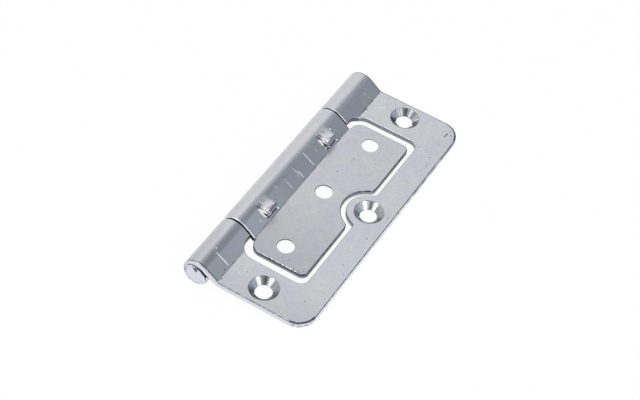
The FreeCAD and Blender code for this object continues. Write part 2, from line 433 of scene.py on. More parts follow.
def knuckle_ends(tree, colour, place, facing, bright_end, black_end, lit_from, lit_to):
    """Paints shade into the slits: black on the knuckles' flat ends and at y = black_end, a painted
    highlight at y = bright_end.
    """
    x, y = place[:2]
    knuckle = ramp(tree, x, FOOT_X + 0.1, FOOT_X - 0.3)
    sideways = size_of(tree, facing[1])
    # painted highlight: the rounded edge at bright_end, where the knuckle faces up between the two x limits
    highlight_and_mottle = both(tree, band(tree, x, lit_from, lit_to, 0.4), ramp(tree, facing[2], 0.05, 0.20))
    for at, tint, reach in ((bright_end, HIGHLIGHT, highlight_and_mottle), (black_end, SHADOW_BLACK, 1.0)):
        here = both(tree, knuckle, band(tree, y, at - 0.38, at + 0.38, 0.02))
        colour = blend(tree, both(tree, here, band(tree, sideways, 0.25, 0.97, 0.05), reach), colour, tint)
        colour = blend(tree, both(tree, here, ramp(tree, sideways, 0.97, 0.99)), colour, SHADOW_BLACK)
    return colour


def grey_slope(tree, colour, place, facing, start, end):
    """The slope grows greyer from y = start to y = end, towards the far end of the pin."""
    sloping = both(
        tree, ramp(tree, facing[0], 0.40, 0.55), ramp(tree, place[0], FOOT_X + 0.1, FOOT_X - 0.1))
    return blend(tree, both(tree, sloping, ramp(tree, place[1], start, end), 0.33), colour, SLOPE_GREY)


def crease_shade(tree, colour, vector, place, facing, share):
    """A faint dark line of painted shade, broken here and there, where the slope meets the plate."""
    broken = ramp(tree, cloud(tree, vector, 1.6, 3.0), 0.38, 0.62)
    line = both(
        tree, band(tree, place[0], FOOT_X - 0.16, FOOT_X + 0.04, 0.12), ramp(tree, facing[2], 0.5, 0.7),
        broken)
    return blend(tree, both(tree, line, share), colour, CREASE_SHADE)


def silhouette(tree, colour, place, facing):
    """The knuckle's left side turns away from the eye and shows a thin grey line of painted shade there."""
    line = both(tree, ramp(tree, facing[0], -0.76, -0.88), ramp(tree, place[0], -19.0, -21.0), 0.68)
    return blend(tree, line, colour, PIT_AND_SHADE)


def shaded_shoulder(tree, colour, place, facing):
    """Painted shade on the knuckle's right shoulder, the more so towards the near end, and a little on its
    top.
    """
    x, y = place[:2]
    curl = both(tree, ramp(tree, x, -15.5, -16.0), ramp(tree, facing[2], 0.2, 0.4))
    share = both(tree, band(tree, facing[0], 0.10, 0.46, 0.14), ramp(tree, y, -35.0, 35.0, 0.42, 0.02))
    share = plus(tree, share, ramp(tree, facing[0], 0.05, -0.10, 0.0, 0.10))
    return blend(tree, both(tree, share, curl), colour, DULL_AND_SHADE)


def beside_lobe(tree, place):
    """1 close to the rounded lobe with the middle screw hole."""
    away = length(tree, minus(tree, place[0], LOBE[0]), minus(tree, place[1], LOBE[1]))
    return ramp(tree, away, 12.5, 11.5)


# %% [markdown]
# ## The frame-shaped leaf
#
# It carries the three turned screw cones and the two end knuckles. The soft boxes light two patches in
# each cone, and a list of greyer ones is painted between them, each given by where it lies round its
# hole, how wide it is and how grey. A cone's side nearest the eye only sees the opposite wall, so it is
# painted greyer as a whole.

# %% Outer leaf


def cones(tree, colour, roughness, vector, place, facing):
    """Turned screw cones: smoother, painted greyer towards the eye and in patches of shade, faint lines
    running down them.
    """
    x, y, z = place
    at_end = sums(tree, "GREATER_THAN", size_of(tree, y), 25.0)
    middle = minus(tree, 1.0, at_end)
    end_along = both(tree, minus(tree, size_of(tree, y), END_HOLE), at_end)
    along = plus(tree, end_along, both(tree, minus(tree, y, LOBE[1]), middle))
    along = both(
        tree, along, times_plus(tree, both(tree, at_end, sums(tree, "LESS_THAN", y, 0.0)), -2.0, 1.0))
    across = minus(tree, x, both(tree, middle, LOBE[0]))
    radius = length(tree, across, along)
    inside = both(
        tree, ramp(tree, radius, CONE_RIM - 0.04, CONE_RIM + 0.04, 1.0, 0.0),
        band(tree, facing[2], 0.5, 0.9, 0.05))
    ring = tree.nodes.new("ShaderNodeCombineXYZ")
    plug(tree, ring.inputs[0], both(tree, over(tree, across, radius), 5.0))
    plug(tree, ring.inputs[1], both(tree, over(tree, along, radius), 5.0))
    plug(tree, ring.inputs[2], plus(tree, both(tree, radius, 0.25), ramp(tree, y, -26.0, 26.0, 0.0, 31.0)))
    lines = ramp(tree, cloud(tree, ring.outputs[0], 1.0, 3.0), 0.48, 0.66)

    def around(degrees, half, soft):
        """1 within half degrees of the given position round the hole, fading out over soft degrees."""
        angle = math.radians(degrees)
        towards = plus(tree, both(tree, across, math.cos(angle)), both(tree, along, math.sin(angle)))
        start, full = math.cos(math.radians(half + soft)), math.cos(math.radians(half))
        return ramp(tree, over(tree, towards, radius), start, full)

    towards_eye = ramp(tree, times_plus(tree, facing[0], -0.35, facing[1]), -0.25, 0.25)
    skin_colour = blend(tree, towards_eye, (0.88, 0.89, 0.92, 1.0), (0.32, 0.325, 0.35, 1.0))
    near_hole = both(tree, at_end, sums(tree, "LESS_THAN", y, 0.0))
    far_hole = both(tree, at_end, sums(tree, "GREATER_THAN", y, 0.0))
    patches = (
        (near_hole, (
            (48, 12, 24, 0.90, 0.44), (16, 6, 7, 0.90, 0.60), (120, 6, 8, 0.85, 0.24),
            (134, 5, 5, 0.85, 0.33), (224, 8, 8, 0.90, 0.70), (268, 14, 14, 1.0, 0.14),
            (347, 8, 10, 0.90, 0.22),
        )),
        (middle, (
            (48, 12, 24, 0.90, 0.44), (75, 4, 6, 0.80, 0.45), (222, 8, 8, 0.85, 0.70),
            (256, 5, 8, 1.0, 0.20), (2, 8, 8, 0.80, 0.55),
        )),
        (far_hole, (
            (6, 14, 8, 0.90, 0.75), (52, 7, 8, 0.70, 0.48), (70, 9, 8, 0.85, 0.36),
            (90, 5, 6, 1.0, 0.26), (119, 8, 7, 0.90, 0.22), (136, 6, 6, 1.0, 0.22),
            (222, 8, 8, 0.80, 0.70), (262, 22, 14, 1.0, 0.17),
        )),
    )
    for hole, own_patches in patches:
        for degrees, half, soft, share, grey in own_patches:
            tint = (grey, 1.01 * grey, min(1.0, 1.07 * grey), 1.0)
            skin_colour = blend(
                tree, both(tree, around(degrees, half, soft), hole, share), skin_colour, tint)
    # painted shade: dark blotches in the cone's dark part between its lit patches
    dark_blotches = ramp(tree, cloud(tree, vector, 0.55, 3.0), 0.52, 0.62)
    skin_colour = blend(
        tree, both(tree, around(112, 30, 14), dark_blotches, 0.55), skin_colour, (0.14, 0.145, 0.17, 1.0))
    skin_colour = blend(tree, both(tree, lines, 0.6), skin_colour, (0.20, 0.21, 0.24, 1.0))
    colour = blend(tree, inside, colour, skin_colour)
    # painted shade down the hole, below the cone
    land = both(tree, ramp(tree, radius, 2.95, 2.80), ramp(tree, facing[2], 0.45, 0.25))
    colour = blend(tree, land, colour, (0.12, 0.125, 0.15, 1.0))
    # painted shade: a dark broken line round the cone's rim, stronger on its left
    rough_rim = ramp(tree, cloud(tree, vector, 0.8, 3.0), 0.35, 0.60)
    rim = both(tree, band(tree, radius, CONE_RIM - 0.04, CONE_RIM + 0.16, 0.07), ramp(tree, z, 1.9, 1.99))
    rim = both(tree, rim, plus(tree, 0.36, both(tree, around(170, 50, 20), rough_rim, 0.55)))
    colour = blend(tree, rim, colour, (0.10, 0.11, 0.14, 1.0))
    roughness = times_plus(tree, inside, -0.20, roughness)
    return colour, roughness, inside


def outer_material():
    """Window walls and edge lines of painted shade, painted highlights, a mottled outer edge, pale knuckle
    ends, turned cones.
    """
    material, tree, shader = new_material("outer_leaf_zinc")
    vector, place, facing = measured(tree)
    x, y, z = place
    colour, roughness, grain = plating(tree, vector, SATIN)
    # darker towards the near end
    colour = blend(tree, ramp(tree, y, -50.0, -30.0, 0.20, 0.02), colour, DULL_AND_SHADE)
    colour = grey_slope(tree, colour, place, facing, -20.0, 20.0)
    colour = crease_shade(tree, colour, vector, place, facing, ramp(tree, y, 25.0, 26.0, 0.10, 0.85))

    # painted shade: the window's walls and its corner walls face each other over the shaded table, so they
    # are painted dark, greyer beside the lobe, darker high up and darkest at the far left corner
    window = both(
        tree, ramp(tree, x, 10.0, 9.7), ramp(tree, size_of(tree, y), 40.0, 39.0),
        ramp(tree, x, FOOT_X - 0.3, FOOT_X + 0.1))
    corner = both(
        tree, band(tree, x, -14.5, FOOT_X + 0.1, 0.2), band(tree, size_of(tree, y), 29.3, 40.0, 0.1),
        ramp(tree, z, 0.0, 0.3))
    window = either(tree, window, corner)
    side = both(tree, ramp(tree, facing[0], 0.5, 0.8), ramp(tree, x, 12.0, 13.0))
    # a cloud that mottles the outer edge between pale and dark
    highlight_and_mottle = plus(tree, cloud(tree, vector, 2.0, 3.0, (1.0, 2.2, 0.6)), both(tree, y, 0.006))
    mottled = blend(tree, ramp(tree, highlight_and_mottle, 0.50, 0.75), (0.86, 0.86, 0.92, 1.0), (0.33, 0.34, 0.39, 1.0))
    # painted shade: a dark line along the bottom of the outer edge
    mottled = blend(tree, ramp(tree, z, 0.60, 0.45, 0.0, 0.8), mottled, EDGE_SHADE)
    window_wall = blend(tree, beside_lobe(tree, place), (0.28, 0.29, 0.33, 1.0), GREY)
    window_wall = blend(tree, ramp(tree, z, 1.20, 1.50, 0.0, 0.40), window_wall, EDGE_SHADE)
    far_left = both(tree, corner, ramp(tree, y, 0.0, 5.0), 0.65)
    window_wall = blend(tree, far_left, window_wall, DEEP_SHADE)
    wall_colour = blend(tree, window, mottled, window_wall)
    front = both(
        tree, ramp(tree, y, -49.4, -49.6), ramp(tree, facing[1], -0.1, -0.3),
        ramp(tree, x, FOOT_X, FOOT_X + 0.04))
    streaks = ramp(tree, cloud(tree, vector, 0.45, 3.0, (14.0, 1.0, 1.0)), 0.38, 0.62)
    front_wall = blend(tree, streaks, (0.43, 0.43, 0.48, 1.0), (0.66, 0.66, 0.70, 1.0))
    front_wall = blend(tree, both(tree, band(tree, z, 0.75, 1.05, 0.25), 0.45), front_wall, GREY)
    wall_colour = blend(tree, front, wall_colour, front_wall)
    near_corner = both(
        tree, ramp(tree, x, 12.0, 12.6), ramp(tree, y, -43.5, -44.5), minus(tree, 1.0, front))
    spots = ramp(tree, cloud(tree, vector, 1.1, 3.0, (1.0, 1.0, 0.5)), 0.50, 0.64)
    wall_colour = blend(
        tree, near_corner, wall_colour,
        blend(tree, spots, (0.84, 0.84, 0.90, 1.0), (0.24, 0.235, 0.30, 1.0)))
    walls = either(tree, either(tree, window, side), either(tree, front, near_corner))
    colour, roughness = cut_edges(
        tree, colour, roughness, vector, place, facing, wall_colour, walls,
        times_plus(tree, front, -0.20, 1.0))
    # painted highlight: a pale line on the front edge where its rounding begins to turn up
    colour = blend(tree, both(tree, front, band(tree, facing[2], 0.05, 0.28, 0.06), 0.8), colour, HIGHLIGHT)
    # painted highlight on the upper rounding of the window's far wall
    far_wall = both(
        tree, window, ramp(tree, y, 33.0, 34.0), ramp(tree, facing[1], -0.2, -0.4),
        band(tree, facing[2], 0.10, 0.75, 0.10))
    colour = blend(tree, both(tree, far_wall, 0.85), colour, HIGHLIGHT)

    # painted shade: dark lines just in from the top edges at both ends and round the outer corners, broken
    # here and there
    upper = ramp(tree, facing[2], 0.2, 0.4)
    gaps_in_line = ramp(tree, cloud(tree, vector, 1.3, 3.0), 0.35, 0.55)
    far_line = both(
        tree, ramp(tree, y, 49.35, 49.60), upper, ramp(tree, x, FOOT_X - 0.2, FOOT_X + 0.2, 0.70, 0.48))
    near_line = both(
        tree, ramp(tree, y, -49.45, -49.60), upper, ramp(tree, x, FOOT_X, FOOT_X + 0.7), gaps_in_line, 0.55)
    to_corner = length(tree, minus(tree, x, CORNER[0]), minus(tree, size_of(tree, y), CORNER[1]))
    in_corner = both(
        tree, ramp(tree, x, CORNER[0], CORNER[0] + 1.0),
        ramp(tree, size_of(tree, y), CORNER[1], CORNER[1] + 1.0), upper)
    corner_line = both(
        tree, in_corner, ramp(tree, to_corner, 5.75, 6.00), times_plus(tree, gaps_in_line, 0.30, 0.68))
    edge_line = either(tree, either(tree, far_line, near_line), corner_line)
    colour = blend(tree, edge_line, colour, (0.08, 0.085, 0.11, 1.0))
    colour = shaded_shoulder(tree, colour, place, facing)
    colour = silhouette(tree, colour, place, facing)

    end_face = both(tree, ramp(tree, facing[1], -0.80, -0.95), ramp(tree, y, -49.7, -49.9))
    colour = blend(tree, end_face, colour, (0.75, 0.76, 0.83, 1.0))
    off_x = minus(tree, x, PIN_X)
    off_z = minus(tree, z, PIN_Z)
    from_axis = length(tree, off_x, off_z)
    arc_x = plus(tree, off_x, 0.62)
    arc_z = plus(tree, off_z, 0.25)
    round_arc = sums(tree, "ARCTAN2", arc_z, arc_x)
    # painted shadow: a dark arc on the knuckle's end face above the pin's head; the face is also painted a
    # little darker at its left
    arc = both(
        tree, end_face, band(tree, length(tree, arc_x, arc_z), 3.50, 3.85, 0.10),
        band(tree, round_arc, 1.60, 2.35, 0.25))
    colour = blend(tree, both(tree, arc, 0.90), colour, (0.08, 0.08, 0.11, 1.0))
    colour = blend(
        tree, both(tree, end_face, ramp(tree, off_x, -3.4, -4.2), 0.32), colour, (0.22, 0.225, 0.25, 1.0))
    # painted shade: black inside the bore
    colour = blend(tree, ramp(tree, from_axis, 3.10, 3.20, 1.0, 0.0), colour, SHADOW_BLACK)
    # painted shade: a dark line round the knuckle just behind its near end
    rim = both(
        tree, band(tree, y, -49.60, -49.25, 0.10), ramp(tree, x, FOOT_X + 0.1, FOOT_X - 0.3),
        ramp(tree, size_of(tree, facing[1]), 0.5, 0.2))
    rim = both(tree, rim, ramp(tree, facing[0], -0.25, 0.15, 0.48, 0.66), ramp(tree, from_axis, 4.0, 4.2))
    colour = blend(tree, rim, colour, DEEP_SHADE)
    colour = knuckle_ends(tree, colour, place, facing, SLIT_FAR, -SLIT_FAR, -17.6, -15.0)
    colour, roughness, in_cone = cones(tree, colour, roughness, vector, place, facing)
    finish_metal(tree, shader, colour, roughness, grain)
    # metal goes white where it is seen almost edge-on, but the turned cones stay grey
    plug(tree, shader.inputs["Specular Tint"], blend(tree, in_cone, WHITE, (0.43, 0.435, 0.46, 1.0)))
    return material


dress(outer_leaf, outer_material())

# %% [markdown]
# ## The leaf in the window
#
# It is a little darker towards the front, its cut edges are painted dark all round with shade over their
# sheared grey, and its two tongues end in a grey sheared face. Under the tongues and down in the slots
# behind them painted shade makes it black.

# %% Inner leaf


def plain_rims(tree, colour, vector, place):
    """A dark broken line of painted shade on the upper left of each screw hole's edge, further round at the
    middle hole.
    """
    x, y = place[:2]
    rough_rim = ramp(tree, cloud(tree, vector, 0.7, 3.0), 0.30, 0.55, 0.35, 1.0)
    for hole_x, hole_y, share, start in (
        (-3.2, -26.0, 0.80, 0.55), (-5.1, 0.0, 0.80, 0.20), (-3.2, 26.0, 0.25, 0.55)):
        across = minus(tree, x, hole_x)
        along = minus(tree, y, hole_y)
        radius = length(tree, across, along)
        upper_left = ramp(
            tree, over(tree, times_plus(tree, across, -1.2, along), radius), start, 2.0 * start)
        ring = both(tree, band(tree, radius, 2.60, 2.98, 0.08), upper_left, rough_rim, share)
        colour = blend(tree, ring, colour, (0.09, 0.10, 0.12, 1.0))
    return colour


def inner_material():
    """Cut edges dark with painted shade all round, tongues with a shaded side and a grey end, painted black
    in their slots.
    """
    material, tree, shader = new_material("inner_leaf_zinc")
    vector, place, facing = measured(tree)
    x, y, z = place
    colour, roughness, grain = plating(tree, vector, SATIN)
    plate = ramp(tree, x, FOOT_X - 0.2, FOOT_X)
    colour = blend(tree, both(tree, plate, ramp(tree, y, -40.0, 5.0, 0.45, 0.12)), colour, DULL_AND_SHADE)
    colour = grey_slope(tree, colour, place, facing, -24.0, 2.0)
    colour = crease_shade(tree, colour, vector, place, facing, 0.50)
    # painted shade: the cut walls are dark, greyer beside the lobe, and darkest along their tops
    near_edge = both(tree, ramp(tree, facing[1], -0.3, -0.6), ramp(tree, y, -26.0, -28.0))
    wall_colour = blend(tree, beside_lobe(tree, place), DARK, GREY)
    wall_colour = blend(tree, near_edge, wall_colour, (0.31, 0.32, 0.36, 1.0))
    wall_colour = blend(tree, both(tree, near_edge, ramp(tree, z, 1.0, 1.2), 0.85), wall_colour, EDGE_SHADE)
    wall_colour = blend(
        tree, both(tree, beside_lobe(tree, place), ramp(tree, z, 1.3, 1.5), 0.75), wall_colour, EDGE_SHADE)
    colour, roughness = cut_edges(tree, colour, roughness, vector, place, facing, wall_colour, plate, 1.0)
    colour = plain_rims(tree, colour, vector, place)
    # darker on top towards the leaf's near right corner
    darker_patch = both(
        tree, ramp(tree, x, 6.9, 7.7), ramp(tree, y, -19.0, -26.0), ramp(tree, facing[2], 0.5, 0.7), 0.45)
    colour = blend(tree, darker_patch, colour, DULL_AND_SHADE)
    colour = shaded_shoulder(tree, colour, place, facing)
    colour = silhouette(tree, colour, place, facing)
    colour = knuckle_ends(tree, colour, place, facing, -SLIT_NEAR, SLIT_NEAR, -40.0, -12.6)

    by_tongue = both(
        tree, ramp(tree, size_of(tree, y), 25.0, 24.5), band(tree, x, -18.5, FOOT_X - 0.2, 0.1))
    raised = both(tree, by_tongue, ramp(tree, z, 2.3, 2.5))
    # painted shade: the tongues' sides dark low down, paler towards their tops
    side = both(tree, raised, ramp(tree, size_of(tree, facing[1]), 0.75, 0.9))
    colour = blend(
        tree, side, colour,
        blend(tree, ramp(tree, z, 3.2, 4.6), (0.20, 0.205, 0.24, 1.0), (0.58, 0.585, 0.63, 1.0)))
    from_crown = plus(tree, y, ramp(tree, y, -5.0, 5.0, 17.2, -18.9))
    on_tongue = both(
        tree, raised, ramp(tree, size_of(tree, from_crown), 2.76, 2.70),
        ramp(tree, size_of(tree, y), 10.0, 12.0))
    end = both(tree, on_tongue, ramp(tree, facing[0], 0.80, 0.92), ramp(tree, x, -14.4, -14.0))
    below_top = minus(tree, times_plus(tree, both(tree, from_crown, from_crown), -0.19, 5.9), z)
    far_tongue = ramp(tree, y, -5.0, 5.0)
    end_tone = blend(tree, far_tongue, (0.44, 0.44, 0.48, 1.0), (0.60, 0.60, 0.65, 1.0))
    end_colour = blend(tree, ramp(tree, below_top, 0.7, 1.1), end_tone, (0.76, 0.75, 0.82, 1.0))
    colour = blend(tree, end, colour, end_colour)
    # painted shadow under the tongues
    colour = blend(tree, both(tree, raised, ramp(tree, facing[2], -0.10, -0.30)), colour, SHADOW_BLACK)
    # painted shade: a grey band across each tongue's top near its tip
    tip = times_plus(tree, from_crown, -0.45, x)
    tip_top = both(tree, on_tongue, ramp(tree, tip, -14.20, -13.85), ramp(tree, facing[2], 0.2, 0.4))
    colour = blend(
        tree, both(tree, tip_top, ramp(tree, y, -5.0, 5.0, 0.92, 0.66)), colour, (0.42, 0.42, 0.46, 1.0))
    # darker patches on the tongues' roots
    near_side = either(tree, band(tree, y, -20.3, -19.0, 0.35), band(tree, y, 15.8, 17.1, 0.35))
    middle = either(tree, band(tree, y, -17.8, -16.6, 0.4), band(tree, y, 18.3, 19.5, 0.4))
    root_darkening = plus(
        tree, both(tree, near_side, band(tree, x, -17.9, -16.7, 0.35), 0.80),
        both(tree, middle, band(tree, x, -17.7, -16.6, 0.35), 0.34))
    colour = blend(tree, both(tree, root_darkening, ramp(tree, facing[2], 0.4, 0.6)), colour, DARK)
    # painted shade: black down in the slots behind the tongues, a little less black higher up
    slot = both(tree, by_tongue, ramp(tree, facing[0], -0.45, -0.70), ramp(tree, z, 3.4, 3.2))
    colour = blend(
        tree, slot, colour, blend(tree, ramp(tree, z, 2.4, 2.9), SHADOW_BLACK, (0.09, 0.092, 0.11, 1.0)))
    finish_metal(tree, shader, colour, roughness, grain)
    return material


dress(inner_leaf, inner_material())

# %% [markdown]
# ## Meshes from formulas
#
# The small pieces below are computed as grids of points: rows along the piece and columns round it.
# `skin` turns such a grid into a mesh, closing it round the columns and at both ends.

# %% Mesh helpers


def skin(name, grid, material):
    """A closed mesh from rows of points in mm: rows run along it, columns go round, ends are capped."""
    rows, columns = grid.shape[:2]
    points = grid.reshape(-1, 3) * mm
    row, column = np.meshgrid(np.arange(rows - 1), np.arange(columns), indexing="ij")
    following = (column + 1) % columns
    here, ahead = row * columns, (row + 1) * columns
    quads = np.stack([here + column, here + following, ahead + following, ahead + column], axis=-1)
    first = np.arange(columns)[::-1]
    last = (rows - 1) * columns + np.arange(columns)
    corners = np.concatenate([quads.reshape(-1), first, last])
    sizes = np.concatenate([np.full(quads.size // 4, 4), [columns, columns]])
    starts = np.concatenate([[0], np.cumsum(sizes)[:-1]])
    mesh = bpy.data.meshes.new(name)
    mesh.vertices.add(len(points))
    mesh.vertices.foreach_set("co", points.astype(np.float32).reshape(-1))
    mesh.loops.add(len(corners))
    mesh.loops.foreach_set("vertex_index", corners.astype(np.int32))
    mesh.polygons.add(len(sizes))
    mesh.polygons.foreach_set("loop_start", starts.astype(np.int32))
    mesh.update(calc_edges=True)
    mesh.validate()
    mesh.polygons.foreach_set("use_smooth", np.ones(len(mesh.polygons), dtype=bool))
    mesh.materials.append(material)
    piece = bpy.data.objects.new(name, mesh)
    bpy.context.scene.collection.objects.link(piece)
    return piece


def facing_outward(piece):
    """Turns the faces outward if the mesh encloses a negative volume, and gives the volume in cubic mm."""
    mesh = piece.data
    mesh.calc_loop_triangles()
    index = np.empty(len(mesh.loop_triangles) * 3, dtype=np.int32)
    mesh.loop_triangles.foreach_get("vertices", index)
    points = np.empty(len(mesh.vertices) * 3, dtype=np.float32)
    mesh.vertices.foreach_get("co", points)
    corner = points.reshape(-1, 3)[index].reshape(-1, 3, 3).astype(float)
    volume = np.einsum("ij,ij->i", corner[:, 0], np.cross(corner[:, 1], corner[:, 2])).sum() / 6.0
    if volume < 0.0:
        mesh.flip_normals()
    return abs(volume) / mm ** 3


def joined(name, pieces, rides):
    """One object from several, riding on a body of the joint."""
    for item in bpy.context.selected_objects:
        item.select_set(False)
    for item in pieces:
        item.select_set(True)
    bpy.context.view_layer.objects.active = pieces[0]
    bpy.ops.object.join()
    piece = bpy.context.view_layer.objects.active
    piece.name = name
    piece.data.name = name
    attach(piece, rides)
    print(name, "has", len(piece.data.vertices), "points")
    return piece


# %% [markdown]
# ## The pin and its peened end
#
# The pin is a plain rod held in the outer leaf's knuckles. Its near end was hammered over, which
# spread it to one side: it hides the knuckle's wall low on the left, and leaves a dark gap high on the
# right. The rod is a surface of revolution. So is the hammered head with its short stem, but round a
# centre of its own.

# %% Pin
HEAD_OFF_X = -0.64
HEAD_OFF_Z = -0.88
HEAD_X = PIN_X + HEAD_OFF_X
HEAD_Z = PIN_Z + HEAD_OFF_Z
HEAD_RADIUS = 3.6
PIN_RADIUS = 3.0


def turned(name, profile, centre_x, centre_z, material, columns=96):
    """A surface of revolution about a line along Y, from pairs of radius and place along it."""
    radius, along = np.array(profile, dtype=float).T
    angle = np.linspace(0.0, 2.0 * np.pi, columns, endpoint=False)
    x = centre_x + radius[:, None] * np.cos(angle)
    z = centre_z + radius[:, None] * np.sin(angle)
    piece = skin(name, np.stack([x, np.broadcast_to(along[:, None], x.shape), z], axis=-1), material)
    print(name, "encloses", round(facing_outward(piece), 1), "cubic mm")
    return piece


def rounded(radius, along, size, way, steps=9):
    """A quarter round at the rim of a turned piece, from its flat end (way -1 near, +1 far) to its side."""
    turns = np.linspace(0.0, math.pi / 2.0, steps)
    return [(radius - size + size * math.sin(a), along + way * (size * math.cos(a) - size)) for a in turns]


def pin_material():
    """Zinc with a lilac hammered face, painted shade low on its rim, and black painted shadow in the gap
    beside it.
    """
    material, tree, shader = new_material("pin_zinc_plating")
    vector, (x, y, z), facing = measured(tree)
    colour, roughness, grain = plating(tree, vector, 0.32)
    hammered = both(tree, ramp(tree, y, -49.9, -50.0), ramp(tree, facing[1], -0.85, -0.95))
    colour = blend(tree, hammered, colour, (0.70, 0.715, 0.80, 1.0))
    out_x = minus(tree, x, HEAD_X)
    out_z = minus(tree, z, HEAD_Z)
    # painted shade on the lower left of the head's rounded rim
    lower_left = ramp(tree, plus(tree, out_x, out_z), 0.5, -2.0)
    grey_rim = both(tree, hammered, ramp(tree, length(tree, out_x, out_z), 3.10, 3.42), lower_left, 0.62)
    colour = blend(tree, grey_rim, colour, (0.27, 0.275, 0.31, 1.0))
    # painted shade on the head's rounded rim where it turns back from the face
    colour = blend(
        tree, both(tree, ramp(tree, y, -49.0, -49.3), band(tree, facing[1], -0.80, -0.10, 0.10)), colour,
        (0.26, 0.26, 0.30, 1.0))
    # painted shadow: black in the gap between head and knuckle
    deep = both(tree, ramp(tree, y, -49.70, -49.55), ramp(tree, y, -48.0, -48.2))
    colour = blend(tree, deep, colour, SHADOW_BLACK)
    finish_metal(tree, shader, colour, roughness, grain)
    return material


pin_zinc = pin_material()
rod_near = [
    (0.4, -49.0), (2.7, -49.0), (2.95, -48.9), (PIN_RADIUS, -48.7), (PIN_RADIUS, -48.6), (PIN_RADIUS, 49.5)]
rod_far = rounded(PIN_RADIUS, 50.1, 0.5, 1)[::-1] + [(2.45, 50.1), (0.4, 50.1)]
rod = turned("rod", rod_near + rod_far, PIN_X, PIN_Z, pin_zinc)
head_face = [(0.3, -50.065), (2.2, -50.06), (3.2, -50.05)] + rounded(HEAD_RADIUS, -50.045, 0.13, -1)
head_back = [(HEAD_RADIUS, -49.5), (3.4, -49.3), (2.0, -49.2), (2.0, -48.7), (0.3, -48.7)]
head = turned("head", head_face + head_back, HEAD_X, HEAD_Z, pin_zinc)
pin = joined("pin_with_peened_end", [rod, head], "outer")
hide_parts("hinge_pin")

# %% [markdown]
# ## Marks of the press
#
# Where the tongues were lanced out, the punch pushed up a bright burr along each slot and along the
# tongue's lower edge. The bending tool left straight ribs running down the slopes, and years of
# handling left nicks. Each of these is a bead: an oval cross-section carried along a line of points
# and drawn to a point at both ends. The bright ones are burnished, and their white colour is also a
# painted highlight for the glints they catch. The dark ones are grime, except those along the slots'
# lower edges and in the crease at the foot of the slope, which are painted shade.

# %% Beads


def bead_material(name, tint, metal, rough):
    """A plain tint broken up by a fine cloud."""
    material, tree, shader = new_material(name, metal)
    fine = cloud(tree, measured(tree)[0], 0.35, 2.0)
    colour = blend(
        tree, ramp(tree, fine, 0.45, 0.80, 0.0, 0.20), tint, tuple(0.55 * v for v in tint[:3]) + (1.0,))
    finish_metal(tree, shader, colour, rough, fine)
    return material


# white beyond any zinc: the burrs' own burnish with a painted highlight for their glints
burnish_and_glint = bead_material("burnished_and_glinting", WHITE, 0.28, 0.26)
soft = bead_material("rubbed_zinc", (0.86, 0.87, 0.90, 1.0), 0.70, 0.40)
# dark grime, also used for painted shade along the slots and in the crease
grime_and_shade = bead_material("grime_and_shade", (0.06, 0.06, 0.075, 1.0), 0.30, 0.60)
stain = bead_material("stain", (0.30, 0.305, 0.33, 1.0), 0.50, 0.55)


def bead(points, outward, wide, high, material, rows=24, columns=12):
    """An oval bead along a line of points in mm, standing out as given and pointed at both ends."""
    points = np.array(points, dtype=float)
    passed = np.concatenate([[0.0], np.cumsum(np.linalg.norm(np.diff(points, axis=0), axis=1))])
    share = np.linspace(0.0, 1.0, rows)
    line = np.stack([np.interp(share * passed[-1], passed, points[:, axis]) for axis in range(3)], axis=-1)
    way = np.gradient(line, axis=0)
    out = np.array(outward, dtype=float) / np.linalg.norm(outward)
    side = np.cross(way, out)
    side /= np.linalg.norm(side, axis=1, keepdims=True)
    taper = np.sqrt(np.clip(1.0 - np.abs(2.0 * share - 1.0) ** 3.0, 0.0004, 1.0))[:, None, None]
    angle = np.linspace(0.0, 2.0 * np.pi, columns, endpoint=False)[None, :, None]
    grid = line[:, None] + taper * (np.cos(angle) * side[:, None] * wide / 2.0 + np.sin(angle) * out * high)
    piece = skin("bead", grid, material)
    facing_outward(piece)
    return piece


def slope(up, y):
    """The point in mm that lies so far up from the foot, at y: on the slope first, then on the knuckle."""
    curl = KNUCKLE + (PLAY if abs(y) < SLIT_NEAR else 0.0)
    straight = math.sqrt(FOOT ** 2 + PIN_Z ** 2 - curl ** 2)
    tilt = math.asin(curl / math.hypot(FOOT, PIN_Z)) - math.atan2(PIN_Z, FOOT)
    if up <= straight:
        return (FOOT_X - up * math.cos(tilt), y, SHEET + up * math.sin(tilt))
    turned_by = math.pi / 2.0 - tilt + (up - straight) / curl
    return (PIN_X + curl * math.cos(turned_by), y, PIN_Z + curl * math.sin(turned_by))


def stroke(places, wide, high, material):
    """A bead through places given by up and y, standing out from the slope."""
    return bead([slope(*place) for place in places], SLOPE_OUT, wide, high, material)


def rib(start, end, wide, material):
    """A low bead between two places given by up and y, following the slope and the knuckle."""
    return stroke(np.linspace(start, end, 12), wide, 0.06, material)


UP = (0.0, 0.0, 1.0)
FRONT = (0.0, -1.0, 0.0)
END = (1.0, 0.0, 0.25)

# %% [markdown]
# ## Burrs at the tongues
#
# Each slot has a lip on its near side, the tongue above it has a bright lower edge, and a drop of
# metal sits at the slot's far corner. The two tongues differ a little, as pressed parts do.

